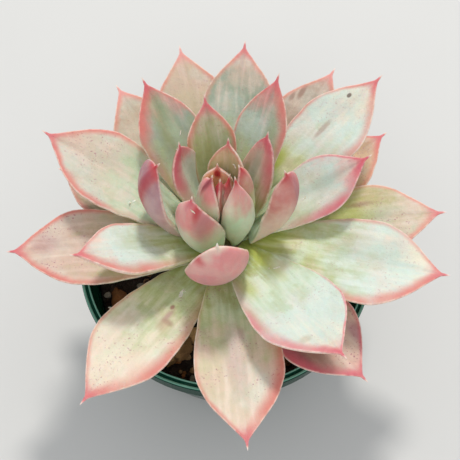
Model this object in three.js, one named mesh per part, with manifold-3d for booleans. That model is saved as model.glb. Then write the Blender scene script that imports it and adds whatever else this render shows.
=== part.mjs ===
// A potted rosette succulent: thick pointed leaves round a short stem, in a grower's pot of thin green plastic.
// Millimetres, +Z up. The origin is the middle of the pot's foot, which stands on the XY plane.
import * as THREE from 'three';
import { ParametricGeometry } from 'three/addons/geometries/ParametricGeometry.js';
import { mergeVertices } from 'three/addons/utils/BufferGeometryUtils.js';
import Module from 'manifold-3d';

const wasm = await Module();
wasm.setup();

// Pot
const POT_HEIGHT = 50;
const POT_RIM_RADIUS = 45;
const POT_FOOT_RADIUS = 32;
const POT_WALL = 1.4;
const POT_FLOOR = 2;
const POT_BAND_HEIGHT = 9;
const POT_BAND_STEP = 1.2;
const POT_LIP_WIDTH = 1;
const POT_LIP_HEIGHT = 1.6;
const POT_SIDES = 48;
const DRAIN_HOLES = 6;
const DRAIN_HOLE_RADIUS = 3.5;
const DRAIN_CIRCLE_RADIUS = 20;

// Soil, and the grit on top of it
const SOIL_TOP = 38;
const SOIL_SWELL = 1.2;
const SOIL_SIDES = 30;
const SOIL_RINGS = 6;
const STONE_COUNT = 46;
const STONE_SMALLEST = 1.8;
const STONE_LARGEST = 3.6;

// Stem
const STEM_RADIUS = 6;
const STEM_FOOT = 10;
const STEM_SHOULDER = 62;
const STEM_TOP = 68;
const STEM_SIDES = 18;

// Every piece keeps this much air round it
const GAP = 0.3;

// Leaf section: the thickness at the middle, how it is shared above and below the midrib,
// how far the edges stand up for each millimetre of half width, and the spine at the tip
const LEAF_THICKNESS = 4.6;
const SHARE_ABOVE = 0.25;
const SHARE_BELOW = 0.75;
const LEAF_CUP = 0.16;
const LEAF_BASE_WIDTH = 0.34;
const LEAF_WIDEST_AT = 0.66;
const LEAF_SHOULDER = 1.25;
const LEAF_ROOT_RADIUS = 4;
const SPINE_LENGTH = 2.4;
const SPINE_RADIUS = 0.45;

// Facets of a leaf round its section and along its length
const LARGE_LEAF_FACETS = [12, 11];
const SMALL_LEAF_FACETS = [10, 9];
const SMALL_LEAF_LENGTH = 40;

// The leaves from the oldest to the youngest. Direction is in degrees from +X round the stem,
// length and width in millimetres, rise in degrees above level at the base and at the tip,
// and height where the leaf leaves the stem. Roll twists the blade about its midrib, and swing
// turns the tip sideways. The youngest stand upright and fold into the bud.
const LEAVES = [
  { name: 'leaf_01', direction: 153, length: 57, width: 21, rise: [11, 2], height: 49 },
  { name: 'leaf_02', direction: 125, length: 61, width: 23, rise: [20, 18], height: 49 },
  { name: 'leaf_03', direction: 104, length: 64, width: 24, rise: [28, 24], height: 49 },
  { name: 'leaf_04', direction: 35, length: 60, width: 23, rise: [16, 12], height: 49 },
  { name: 'leaf_05', direction: 57, length: 64, width: 22, rise: [24, 20], height: 50 },
  { name: 'leaf_06', direction: 212, length: 36, width: 7, rise: [2, -4], height: 49, thickness: 3 },
  { name: 'leaf_07', direction: 312, length: 55, width: 25, rise: [8, -2], height: 52 },
  { name: 'leaf_08', direction: 4, length: 63, width: 24, rise: [18, 8], height: 52 },
  { name: 'leaf_09', direction: 234, length: 62, width: 23, rise: [16, 2], height: 53 },
  { name: 'leaf_10', direction: 84, length: 60, width: 22, rise: [32, 26], height: 54 },
  { name: 'leaf_11', direction: 188, length: 61, width: 25, rise: [14, 5], height: 54, swing: -3 },
  { name: 'leaf_12', direction: 41, length: 65, width: 22, rise: [30, 26], height: 55 },
  { name: 'leaf_13', direction: 275, length: 62, width: 24, rise: [13, 3], height: 56 },
  { name: 'leaf_14', direction: 123, length: 51, width: 18, rise: [38, 34], height: 57, roll: -12 },
  { name: 'leaf_15', direction: 341, length: 62, width: 27, rise: [14, 8], height: 58, swing: 7 },
  { name: 'leaf_16', direction: 204, length: 46, width: 19, rise: [26, 28], height: 59, roll: 10,
    swing: -4 },
  { name: 'leaf_17', direction: 67, length: 47, width: 15, rise: [40, 42], height: 60 },
  { name: 'leaf_18', direction: 302, length: 56, width: 25, rise: [20, 26], height: 59, swing: 2 },
  { name: 'leaf_19', direction: 156, length: 59, width: 24, rise: [20, 24], height: 58 },
  { name: 'leaf_20', direction: 18, length: 46, width: 17, rise: [26, 36], height: 59, roll: 14 },
  { name: 'leaf_21', direction: 102, length: 39, width: 14, rise: [48, 50], height: 61 },
  { name: 'leaf_22', direction: 264, length: 35, width: 18, rise: [30, 102], height: 62, roll: 25,
    swing: -3, forward: 2, rootRadius: 5, thickness: 6.2, cup: 0.2, baseWidth: 0.46, widestAt: 0.5,
    shoulder: 0.7, spine: 1.6 },
  { name: 'leaf_23', direction: 168, length: 39, width: 17, rise: [17, 125], height: 62, roll: 24,
    swing: 12, forward: 1, rootRadius: 6.6, thickness: 5.5, cup: 0.22, widestAt: 0.54,
    shoulder: 0.72 },
  { name: 'leaf_24', direction: 54, length: 33, width: 12, rise: [51, 73], height: 62, roll: -9,
    swing: 8, forward: 2, rootRadius: 5.5, thickness: 4.2, cup: 0.04, widestAt: 0.4,
    shoulder: 0.8 },
  { name: 'leaf_25', direction: 5, length: 35, width: 10, rise: [43, 107], height: 62, roll: -45,
    swing: -4, forward: 1, rootRadius: 6.8, thickness: 5.3, cup: 0.34, baseWidth: 0.68,
    widestAt: 0.7, shoulder: 0.82 },
  { name: 'leaf_26', direction: 137, length: 33, width: 13, rise: [27, 82], height: 62, roll: 30,
    swing: -25, forward: 1, rootRadius: 1.6, thickness: 3.2, cup: 0.04, shoulder: 0.9 },
  { name: 'leaf_27', direction: 316, length: 33, width: 10, rise: [81, 102], height: 62, roll: -23,
    swing: -8, thickness: 3.4, cup: 0.14, baseWidth: 0.44, widestAt: 0.43 },
  { name: 'leaf_28', direction: 213, length: 32, width: 14.6, rise: [66, 95], height: 61, roll: 35,
    swing: -10, forward: 1, rootRadius: 5, thickness: 6.2, cup: 0.28, baseWidth: 0.6,
    widestAt: 0.45, shoulder: 1.05 },
  { name: 'leaf_29', direction: 88, length: 31, width: 11, rise: [63, 78], height: 63, roll: -18,
    swing: -4, forward: 2, thickness: 3.7, cup: 0.2 },
  { name: 'leaf_30', direction: 24, length: 32, width: 10, rise: [82, 101], height: 63, roll: -31,
    swing: -2, rootRadius: 4.5, cup: 0.36 },
  { name: 'leaf_31', direction: 160, length: 29, width: 11.6, rise: [87, 97], height: 63, roll: 37,
    swing: 8, forward: 1, rootRadius: 4.6, thickness: 5.3, cup: 0.1, widestAt: 0.6, shoulder: 1.4 },
  { name: 'leaf_32', direction: 258, length: 25, width: 6, rise: [90, 109], height: 64, swing: -15,
    rootRadius: 0.8, thickness: 3.5, cup: 0.2, baseWidth: 0.5, widestAt: 0.53, shoulder: 1.4 },
  { name: 'leaf_33', direction: 108, length: 25, width: 9.4, rise: [80, 90], height: 64, roll: -16,
    swing: -11, forward: 1, rootRadius: 5.4, thickness: 4.2, cup: 0.06 },
  { name: 'leaf_34', direction: 152, length: 25, width: 5, rise: [90, 87], height: 66, roll: 5,
    forward: 1, rootRadius: 0.9, thickness: 3 },
];

// Repeatable random numbers from 0 to 1, so that the stones lie the same on every run
function randomFrom(seed) {
  let state = seed;
  return () => {
    state = (state * 16807) % 2147483647;
    return state / 2147483647;
  };
}

function clamp01(value) {
  return THREE.MathUtils.clamp(value, 0, 1);
}

// A closed solid from any closed three.js geometry
function solidFrom(geometry) {
  const bare = geometry.clone();
  for (const name of Object.keys(bare.attributes)) {
    if (name !== 'position') bare.deleteAttribute(name);
  }
  const merged = mergeVertices(bare, 1e-5);
  const corners = Array.from(merged.index.array);
  const kept = [];
  for (let i = 0; i < corners.length; i += 3) {
    const [a, b, c] = corners.slice(i, i + 3);
    if (a !== b && b !== c && c !== a) kept.push(a, b, c);
  }
  const mesh = new wasm.Mesh({
    numProp: 3,
    vertProperties: new Float32Array(merged.attributes.position.array),
    triVerts: new Uint32Array(kept),
  });
  return new wasm.Manifold(mesh);
}

// The largest single body of a solid
function largestBody(solid) {
  const bodies = solid.decompose();
  bodies.sort((a, b) => b.volume() - a.volume());
  return bodies[0];
}

// A named mesh from a solid
function meshFrom(name, solid, material) {
  const data = solid.getMesh();
  const geometry = new THREE.BufferGeometry();
  geometry.setAttribute('position', new THREE.BufferAttribute(new Float32Array(data.vertProperties), 3));
  geometry.setIndex(new THREE.BufferAttribute(new Uint32Array(data.triVerts), 1));
  geometry.computeVertexNormals();
  const mesh = new THREE.Mesh(geometry, material);
  mesh.name = name;
  return mesh;
}

function turned(profile, sides) {
  const points = profile.map(([radius, height]) => new THREE.Vector2(radius, height));
  const geometry = new THREE.LatheGeometry(points, sides);
  geometry.rotateX(Math.PI / 2);
  return geometry;
}

// Radius of the pot's inside wall at a height below the rim band
function potInnerRadius(height) {
  const wallTop = POT_HEIGHT - POT_BAND_HEIGHT;
  const wallTopRadius = POT_RIM_RADIUS - POT_LIP_WIDTH - POT_BAND_STEP;
  const outer = THREE.MathUtils.lerp(POT_FOOT_RADIUS, wallTopRadius, height / wallTop);
  return outer - POT_WALL;
}

// The pot: a tapered wall, a wider band under a rounded lip, and a floor with drain holes
function potSolid() {
  const wallTop = POT_HEIGHT - POT_BAND_HEIGHT;
  const bandRadius = POT_RIM_RADIUS - POT_LIP_WIDTH;
  const wallTopRadius = bandRadius - POT_BAND_STEP;
  const lipFoot = POT_HEIGHT - POT_LIP_HEIGHT;
  const profile = [
    [0, 0],
    [POT_FOOT_RADIUS - 0.8, 0],
    [POT_FOOT_RADIUS, 0.8],
    [wallTopRadius, wallTop],
    [bandRadius, wallTop + 0.8],
    [bandRadius + 0.2, lipFoot],
    [POT_RIM_RADIUS, lipFoot + 0.3],
    [POT_RIM_RADIUS, POT_HEIGHT - 0.4],
    [POT_RIM_RADIUS - 0.5, POT_HEIGHT],
    [bandRadius - POT_WALL + 0.5, POT_HEIGHT],
    [bandRadius - POT_WALL, POT_HEIGHT - 0.6],
    [bandRadius - POT_WALL, wallTop + 1.6],
    [wallTopRadius - POT_WALL, wallTop],
    [potInnerRadius(POT_FLOOR), POT_FLOOR],
    [0, POT_FLOOR],
  ];
  let pot = solidFrom(turned(profile, POT_SIDES));
  for (let i = 0; i < DRAIN_HOLES; i += 1) {
    const angle = (i / DRAIN_HOLES) * 2 * Math.PI;
    const hole = new THREE.CylinderGeometry(DRAIN_HOLE_RADIUS, DRAIN_HOLE_RADIUS, 3 * POT_FLOOR, 12);
    hole.rotateX(Math.PI / 2);
    hole.translate(DRAIN_CIRCLE_RADIUS * Math.cos(angle), DRAIN_CIRCLE_RADIUS * Math.sin(angle), POT_FLOOR / 2);
    pot = pot.subtract(solidFrom(hole));
  }
  return pot;
}

// Height of the bare soil, which swells and dips a little
function soilHeight(x, y) {
  const swell = Math.sin(x / 7 + 1) * Math.cos(y / 9) + 0.5 * Math.sin(x / 3.5 - y / 4);
  return SOIL_TOP + SOIL_SWELL * swell;
}

// The plug of soil: a level foot, a tapered side and an uneven top
function soilPlug() {
  const foot = POT_FLOOR + GAP;
  const stacks = SOIL_RINGS + 2;
  const surface = (u, v, target) => {
    const angle = u * 2 * Math.PI;
    const ring = Math.round(v * stacks);
    const onTop = ring > 1;
    const share = onTop ? 1 - (ring - 2) / SOIL_RINGS : ring;
    const edge = potInnerRadius(onTop ? SOIL_TOP : foot) - GAP;
    const radius = edge * share;
    const x = radius * Math.cos(angle);
    const y = radius * Math.sin(angle);
    target.set(x, y, onTop ? soilHeight(x, y) : foot);
  };
  return solidFrom(new ParametricGeometry(surface, SOIL_SIDES, stacks));
}

// One angular stone, squashed and turned at random, sunk into the soil
function stoneSolid(random) {
  const size = STONE_SMALLEST + (STONE_LARGEST - STONE_SMALLEST) * random() ** 2;
  const reach = potInnerRadius(SOIL_TOP) - GAP - 1.2 * size;
  const radius = reach * Math.sqrt(random());
  const angle = random() * 2 * Math.PI;
  const x = radius * Math.cos(angle);
  const y = radius * Math.sin(angle);
  const stone = new THREE.IcosahedronGeometry(size, 0);
  stone.scale(1.15, 0.95, 0.7);
  stone.rotateX(random() * 0.8);
  stone.rotateZ(random() * 2 * Math.PI);
  stone.translate(x, y, soilHeight(x, y) + 0.15 * size);
  return solidFrom(stone);
}

// The soil with its grit, and a plain hole where the stem stands
function soilSolid() {
  const random = randomFrom(41);
  let soil = soilPlug();
  for (let i = 0; i < STONE_COUNT; i += 1) {
    soil = soil.add(stoneSolid(random));
  }
  const hole = new THREE.CylinderGeometry(STEM_RADIUS + GAP, STEM_RADIUS + GAP, SOIL_TOP, STEM_SIDES);
  hole.rotateX(Math.PI / 2);
  hole.translate(0, 0, STEM_FOOT - GAP + SOIL_TOP / 2);
  return largestBody(soil.subtract(solidFrom(hole)));
}

// The stem, grown by an allowance so that it can also clear room for itself
function stemSolid(allowance) {
  const radius = STEM_RADIUS + allowance;
  const profile = [
    [0, STEM_FOOT - allowance],
    [radius, STEM_FOOT - allowance],
    [radius, SOIL_TOP + 4],
    [radius - 0.5, SOIL_TOP + 10],
    [radius - 1, STEM_SHOULDER],
    [radius * 0.5, STEM_TOP - 1.5 + allowance],
    [0, STEM_TOP + allowance],
  ];
  return solidFrom(turned(profile, STEM_SIDES));
}

// Radius of the spine that grows out of the tip, at a share of the leaf's length
function spineRadius(share, bladeShare) {
  const growth = clamp01((share / bladeShare - 0.5) / 0.5);
  const taper = clamp01((1 - share) / (1 - bladeShare)) ** 0.7;
  return SPINE_RADIUS * growth * taper;
}

function halfWidth(leaf, share) {
  const bladeShare = 1 - leaf.spine / leaf.length;
  const along = clamp01(share / bladeShare);
  let shape;
  if (along < leaf.widestAt) {
    const swell = Math.sin((Math.PI / 2) * (along / leaf.widestAt)) ** 1.35;
    shape = leaf.baseWidth + (1 - leaf.baseWidth) * swell;
  } else {
    const past = (along - leaf.widestAt) / (1 - leaf.widestAt);
    shape = (1 - past ** 2) ** leaf.shoulder;
  }
  return (leaf.width / 2) * shape + spineRadius(share, bladeShare);
}

function thicknessAt(leaf, share) {
  const bladeShare = 1 - leaf.spine / leaf.length;
  const along = clamp01(share / bladeShare);
  const belly = 0.5 + 0.5 * Math.sin(Math.PI * along ** 0.75);
  const close = (1 - along ** 5) ** 0.8;
  return leaf.thickness * belly * close + 2 * spineRadius(share, bladeShare);
}

// How far the edges stand up above the midrib for each millimetre of half width
function cupAt(leaf, share) {
  return leaf.cup * clamp01(share / 0.3) * (0.6 + 0.4 * clamp01((1 - share) / 0.4));
}

// Which way round the stem the leaf points, in radians, at a share of its length
function headingAt(leaf, share) {
  return THREE.MathUtils.degToRad(leaf.direction + leaf.swing * share ** 1.5);
}

// The midrib's direction at a share of the leaf's length
function midribDirection(leaf, share) {
  const rise = THREE.MathUtils.degToRad(THREE.MathUtils.lerp(leaf.rise[0], leaf.rise[1], share));
  const heading = headingAt(leaf, share);
  const level = Math.cos(rise);
  return new THREE.Vector3(level * Math.cos(heading), level * Math.sin(heading), Math.sin(rise));
}

// The midrib's point at a share of the leaf's length, stepped along from the root
function midribPoint(leaf, share) {
  const steps = 40;
  const root = THREE.MathUtils.degToRad(leaf.direction);
  const point = new THREE.Vector3(
    leaf.rootRadius * Math.cos(root),
    leaf.rootRadius * Math.sin(root) - leaf.forward,
    leaf.height,
  );
  for (let i = 0; i < steps; i += 1) {
    const middle = ((i + 0.5) / steps) * share;
    point.addScaledVector(midribDirection(leaf, middle), (leaf.length * share) / steps);
  }
  return point;
}

// The frame of the section: which way the blade spreads and which way its upper face looks
function sectionFrame(leaf, share) {
  const along = midribDirection(leaf, share);
  const heading = headingAt(leaf, share);
  const side = new THREE.Vector3(-Math.sin(heading), Math.cos(heading), 0);
  const roll = THREE.MathUtils.degToRad(leaf.roll) * clamp01(share / 0.35);
  side.applyAxisAngle(along, roll);
  const up = new THREE.Vector3().crossVectors(along, side);
  return { side, up };
}

// Shares of the length where the section is drawn, closer together near the tip
function leafShare(leaf, row, rows) {
  const bladeShare = 1 - leaf.spine / leaf.length;
  const bladeRows = rows - 2;
  if (row <= bladeRows) return bladeShare * (1 - (1 - row / bladeRows) ** 1.15);
  return row === rows ? 1 : bladeShare + 0.5 * (1 - bladeShare);
}

// A leaf as one closed body: the section swept along the midrib, closed at the root and at the tip
function leafSolid(leaf, allowance) {
  const [around, rows] = leaf.length > SMALL_LEAF_LENGTH ? LARGE_LEAF_FACETS : SMALL_LEAF_FACETS;
  const stacks = rows + 1;
  const sections = [];
  for (let row = 0; row <= rows; row += 1) {
    const share = leafShare(leaf, row, rows);
    const { side, up } = sectionFrame(leaf, share);
    sections.push({
      middle: midribPoint(leaf, share),
      side,
      up,
      half: halfWidth(leaf, share) + allowance,
      thick: thicknessAt(leaf, share) + 2 * allowance,
      cup: cupAt(leaf, share) * halfWidth(leaf, share),
    });
  }
  const surface = (u, v, target) => {
    const stack = Math.round(v * stacks);
    const section = sections[Math.max(stack - 1, 0)];
    const closed = stack === 0 || stack === stacks;
    const size = closed ? 0 : 1;
    const angle = u * 2 * Math.PI;
    const across = Math.cos(angle);
    const lift = Math.sin(angle);
    const share = lift > 0 ? SHARE_ABOVE : SHARE_BELOW;
    const raise = section.cup * across ** 2 + section.thick * share * lift;
    target.copy(section.middle);
    target.addScaledVector(section.side, size * section.half * across);
    target.addScaledVector(section.up, size * raise);
  };
  return solidFrom(new ParametricGeometry(surface, around, stacks));
}

function withDefaults(leaf) {
  return {
    roll: 0,
    swing: 0,
    forward: 0,
    rootRadius: LEAF_ROOT_RADIUS,
    thickness: LEAF_THICKNESS,
    cup: LEAF_CUP,
    baseWidth: LEAF_BASE_WIDTH,
    widestAt: LEAF_WIDEST_AT,
    shoulder: LEAF_SHOULDER,
    spine: SPINE_LENGTH,
    ...leaf,
  };
}

function boxesMeet(a, b) {
  const first = a.boundingBox();
  const second = b.boundingBox();
  return [0, 1, 2].every((k) => first.min[k] < second.max[k] && second.min[k] < first.max[k]);
}

// Each leaf keeps its form where it lies on older leaves, and is pressed in by the younger ones and the stem
function leafSolids() {
  const leaves = LEAVES.map(withDefaults);
  const room = leaves.map((leaf) => leafSolid(leaf, GAP));
  const stemRoom = stemSolid(GAP);
  return leaves.map((leaf, index) => {
    let solid = leafSolid(leaf, 0).subtract(stemRoom);
    for (const younger of room.slice(index + 1)) {
      if (boxesMeet(solid, younger)) solid = solid.subtract(younger);
    }
    return { name: leaf.name, solid: largestBody(solid) };
  });
}

function potMaterial() {
  return new THREE.MeshStandardMaterial({ color: 0x0f3d2e, roughness: 0.3, metalness: 0 });
}

function soilMaterial() {
  return new THREE.MeshStandardMaterial({ color: 0x3b2a1c, roughness: 0.95, metalness: 0 });
}

function stemMaterial() {
  return new THREE.MeshStandardMaterial({ color: 0x8a7a5c, roughness: 0.85, metalness: 0 });
}

// Older leaves are creamy green, the bud is rosier
function leafMaterial(index) {
  const youth = index / (LEAVES.length - 1);
  const color = new THREE.Color(0xc9cfae).lerp(new THREE.Color(0xc88f8c), youth ** 2);
  return new THREE.MeshStandardMaterial({ color, roughness: 0.6, metalness: 0 });
}

function buildPot() {
  const group = new THREE.Group();
  group.add(meshFrom('pot', potSolid(), potMaterial()));
  group.add(meshFrom('soil', soilSolid(), soilMaterial()));
  return group;
}

function buildPlant() {
  const group = new THREE.Group();
  group.add(meshFrom('stem', stemSolid(0), stemMaterial()));
  leafSolids().forEach(({ name, solid }, index) => {
    group.add(meshFrom(name, solid, leafMaterial(index)));
  });
  return group;
}

const pottedEcheveria = new THREE.Group();
pottedEcheveria.add(buildPot());
pottedEcheveria.add(buildPlant());

export default pottedEcheveria;
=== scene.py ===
import math
import random
from functools import partial, reduce
from types import SimpleNamespace

import bmesh
import bpy
import numpy as np
from mathutils import Matrix, Vector


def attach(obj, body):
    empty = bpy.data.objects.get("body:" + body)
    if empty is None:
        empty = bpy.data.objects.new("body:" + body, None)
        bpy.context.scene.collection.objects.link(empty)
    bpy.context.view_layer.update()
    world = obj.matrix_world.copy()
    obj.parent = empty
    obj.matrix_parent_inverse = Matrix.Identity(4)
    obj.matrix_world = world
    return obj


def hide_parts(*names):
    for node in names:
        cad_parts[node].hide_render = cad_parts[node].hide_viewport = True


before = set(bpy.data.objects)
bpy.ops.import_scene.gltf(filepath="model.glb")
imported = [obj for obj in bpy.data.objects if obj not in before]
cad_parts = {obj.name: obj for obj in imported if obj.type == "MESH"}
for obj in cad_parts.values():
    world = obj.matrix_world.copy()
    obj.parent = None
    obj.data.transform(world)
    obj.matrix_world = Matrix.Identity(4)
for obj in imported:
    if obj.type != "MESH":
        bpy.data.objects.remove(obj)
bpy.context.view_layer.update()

MM = 0.001

# Camera: where it looks, how far off and how high it stands, and its focal length in photo pixels
CAMERA_TARGET = (1.2, 7.7, 50)
CAMERA_DISTANCE = 250
CAMERA_RISE = 60
CAMERA_FOCUS = 797
PHOTO_WIDTH = 460
SENSOR = 36

# Light: the point that the lamps look at, the even fill, and the floor from its middle to its edge
LIGHT_CENTRE = 54
FILL_STRENGTH = 0.68
FLOOR_REACH = 4000

# Pot, soil and stem, with the same sizes as the solids they stand for
POT_HEIGHT = 50
POT_RIM_RADIUS = 45
POT_FOOT_RADIUS = 32
POT_WALL = 1.4
POT_FLOOR = 2
POT_BAND_HEIGHT = 9
POT_BAND_STEP = 1.2
POT_LIP_WIDTH = 1
POT_LIP_HEIGHT = 1.6
POT_SIDES = 192
POT_WALL_TOP = POT_HEIGHT - POT_BAND_HEIGHT
POT_BAND_RADIUS = POT_RIM_RADIUS - POT_LIP_WIDTH
POT_NECK_RADIUS = POT_BAND_RADIUS - POT_BAND_STEP
DRAIN_HOLES = 6
DRAIN_HOLE_RADIUS = 3.5
DRAIN_CIRCLE_RADIUS = 20
SOIL_TOP = 38
SOIL_SWELL = 1.2
SOIL_SIDES = 144
SOIL_RINGS = 48
STONE_COUNT = 46
STONE_SMALLEST = 1.8
STONE_LARGEST = 3.6
STEM_RADIUS = 6
STEM_FOOT = 10
STEM_SHOULDER = 62
STEM_TOP = 68
GAP = 0.3
POT_ROUNDING = 0.25
POT_ROUNDING_STEPS = 4
# How far below the rim's top the bead crests carry a painted highlight
RIM_HIGHLIGHT_DEPTH = 0.22
SOIL_PIT = 0.7
SOIL_CRUMB = 0.5

# Large lumps seen on the soil: place and radius
CLAY_LUMPS = [(-33.5, -11.5, 3.6), (-27, -24, 3.0), (6, -33, 2.8)]
BARK_LUMPS = [(-12.5, -28, 4.6), (-10, -23, 3.8), (-17, -32, 3.2), (33, -14, 3.6), (26, -24, 3.2),
              (-25, -17, 3.4)]

# Leaf section, with the same sizes as the solids
LEAF_DEFAULTS = {
    "roll": 0, "swing": 0, "forward": 0, "root_radius": 4, "thickness": 4.6, "cup": 0.16,
    "base_width": 0.34, "widest_at": 0.66, "shoulder": 1.25, "spine": 2.4,
}
SHARE_ABOVE = 0.25
SHARE_BELOW = 0.75
SPINE_RADIUS = 0.45
LEAF_AROUND = 72
LEAF_ROWS = 96

# What the leaf has beyond the solid: heights of the margin's waves, the midrib's fold, the keel
# below it and the blade's swells
MARGIN_WAVE = 0.18
FOLD_DEPTH = 0.4
KEEL_HEIGHT = 0.5
SWELL_HEIGHT = 0.4

# Strips of dry skin: how high they lie over the leaf, half their thickness and how far they rumple
FLECK_LIFT = 0.1
FLECK_HALF_THICKNESS = 0.09
FLECK_RUMPLE = 0.12
FLECK_ROWS = 16
FLECK_AROUND = 12

# The leaves from the oldest to the youngest, with the same sizes as the solids:
# direction, length, width, rise at the base and at the tip, height, and what differs from the rest
LEAVES = {
    "leaf_01": (153, 57, 21, (11, 2), 49, {}),
    "leaf_02": (125, 61, 23, (20, 18), 49, {}),
    "leaf_03": (104, 64, 24, (28, 24), 49, {}),
    "leaf_04": (35, 60, 23, (16, 12), 49, {}),
    "leaf_05": (57, 64, 22, (24, 20), 50, {}),
    "leaf_06": (212, 36, 7, (2, -4), 49, {"thickness": 3}),
    "leaf_07": (312, 55, 25, (8, -2), 52, {}),
    "leaf_08": (4, 63, 24, (18, 8), 52, {}),
    "leaf_09": (234, 62, 23, (16, 2), 53, {}),
    "leaf_10": (84, 60, 22, (32, 26), 54, {}),
    "leaf_11": (188, 61, 25, (14, 5), 54, {"swing": -3}),
    "leaf_12": (41, 65, 22, (30, 26), 55, {}),
    "leaf_13": (275, 62, 24, (13, 3), 56, {}),
    "leaf_14": (123, 51, 18, (38, 34), 57, {"roll": -12}),
    "leaf_15": (341, 62, 27, (14, 8), 58, {"swing": 7}),
    "leaf_16": (204, 46, 19, (26, 28), 59, {"roll": 10, "swing": -4}),
    "leaf_17": (67, 47, 15, (40, 42), 60, {}),
    "leaf_18": (302, 56, 25, (20, 26), 59, {"swing": 2}),
    "leaf_19": (156, 59, 24, (20, 24), 58, {}),
    "leaf_20": (18, 46, 17, (26, 36), 59, {"roll": 14}),
    "leaf_21": (102, 39, 14, (48, 50), 61, {}),
    "leaf_22": (264, 35, 18, (30, 102), 62, {
        "roll": 25, "swing": -3, "forward": 2, "root_radius": 5, "thickness": 6.2, "cup": 0.2,
        "base_width": 0.46, "widest_at": 0.5, "shoulder": 0.7, "spine": 1.6}),
    "leaf_23": (168, 39, 17, (17, 125), 62, {
        "roll": 24, "swing": 12, "forward": 1, "root_radius": 6.6, "thickness": 5.5, "cup": 0.22,
        "widest_at": 0.54, "shoulder": 0.72}),
    "leaf_24": (54, 33, 12, (51, 73), 62, {
        "roll": -9, "swing": 8, "forward": 2, "root_radius": 5.5, "thickness": 4.2, "cup": 0.04,
        "widest_at": 0.4, "shoulder": 0.8}),
    "leaf_25": (5, 35, 10, (43, 107), 62, {
        "roll": -45, "swing": -4, "forward": 1, "root_radius": 6.8, "thickness": 5.3, "cup": 0.34,
        "base_width": 0.68, "widest_at": 0.7, "shoulder": 0.82}),
    "leaf_26": (137, 33, 13, (27, 82), 62, {
        "roll": 30, "swing": -25, "forward": 1, "root_radius": 1.6, "thickness": 3.2, "cup": 0.04,
        "shoulder": 0.9}),
    "leaf_27": (316, 33, 10, (81, 102), 62, {
        "roll": -23, "swing": -8, "thickness": 3.4, "cup": 0.14, "base_width": 0.44,
        "widest_at": 0.43}),
    "leaf_28": (213, 32, 14.6, (66, 95), 61, {
        "roll": 35, "swing": -10, "forward": 1, "root_radius": 5, "thickness": 6.2, "cup": 0.28,
        "base_width": 0.6, "widest_at": 0.45, "shoulder": 1.05}),
    "leaf_29": (88, 31, 11, (63, 78), 63, {
        "roll": -18, "swing": -4, "forward": 2, "thickness": 3.7, "cup": 0.2}),
    "leaf_30": (24, 32, 10, (82, 101), 63, {
        "roll": -31, "swing": -2, "root_radius": 4.5, "cup": 0.36}),
    "leaf_31": (160, 29, 11.6, (87, 97), 63, {
        "roll": 37, "swing": 8, "forward": 1, "root_radius": 4.6, "thickness": 5.3, "cup": 0.1,
        "widest_at": 0.6, "shoulder": 1.4}),
    "leaf_32": (258, 25, 6, (90, 109), 64, {
        "swing": -15, "root_radius": 0.8, "thickness": 3.5, "cup": 0.2, "base_width": 0.5,
        "widest_at": 0.53, "shoulder": 1.4}),
    "leaf_33": (108, 25, 9.4, (80, 90), 64, {
        "roll": -16, "swing": -11, "forward": 1, "root_radius": 5.4, "thickness": 4.2,
        "cup": 0.06}),
    "leaf_34": (152, 25, 5, (90, 87), 66, {
        "roll": 5, "forward": 1, "root_radius": 0.9, "thickness": 3}),
}

# Named tones, as 8-bit screen colours
TONES = {
    "ivory": (246, 238, 222), "mint": (200, 220, 190), "dew": (194, 210, 162),
    "mist": (202, 216, 206), "slate": (154, 168, 148), "fern": (154, 156, 104),
    "sage": (188, 198, 140), "pear": (216, 222, 176), "lime": (180, 188, 88),
    "olive": (138, 142, 88), "khaki": (138, 122, 88), "straw": (182, 174, 126),
    "bone": (198, 189, 168), "sand": (206, 190, 162), "wheat": (212, 182, 146),
    "shell": (220, 212, 188), "petal": (226, 204, 186), "blush": (222, 186, 170),
    "clay": (200, 172, 154), "taupe": (182, 160, 142), "apricot": (255, 206, 156),
    "tan": (178, 144, 116), "ochre": (160, 124, 80), "brown": (138, 90, 74),
    "umber": (84, 54, 40), "coral": (206, 104, 94), "salmon": (210, 134, 118),
    "pink": (226, 148, 146), "rosy": (204, 128, 122), "rose": (204, 92, 106),
    "lilac": (194, 166, 168), "mauve": (168, 112, 122), "red": (190, 38, 50),
    "maroon": (124, 40, 54),
}

LOOK_DEFAULTS = {
    "face": "lime sage bone clay", "rim": ("coral", 2.3, 0.0, 0.85), "tip": "rose",
    "back": "pear blush rosy", "back_span": (0.3, 0.85), "cool": 0.35, "warm": 0.3, "specks": 0.35,
    "blush_mm": 8, "tip_amount": 0.75, "flush_mm": 6, "marks": [], "back_marks": [],
}
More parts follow.
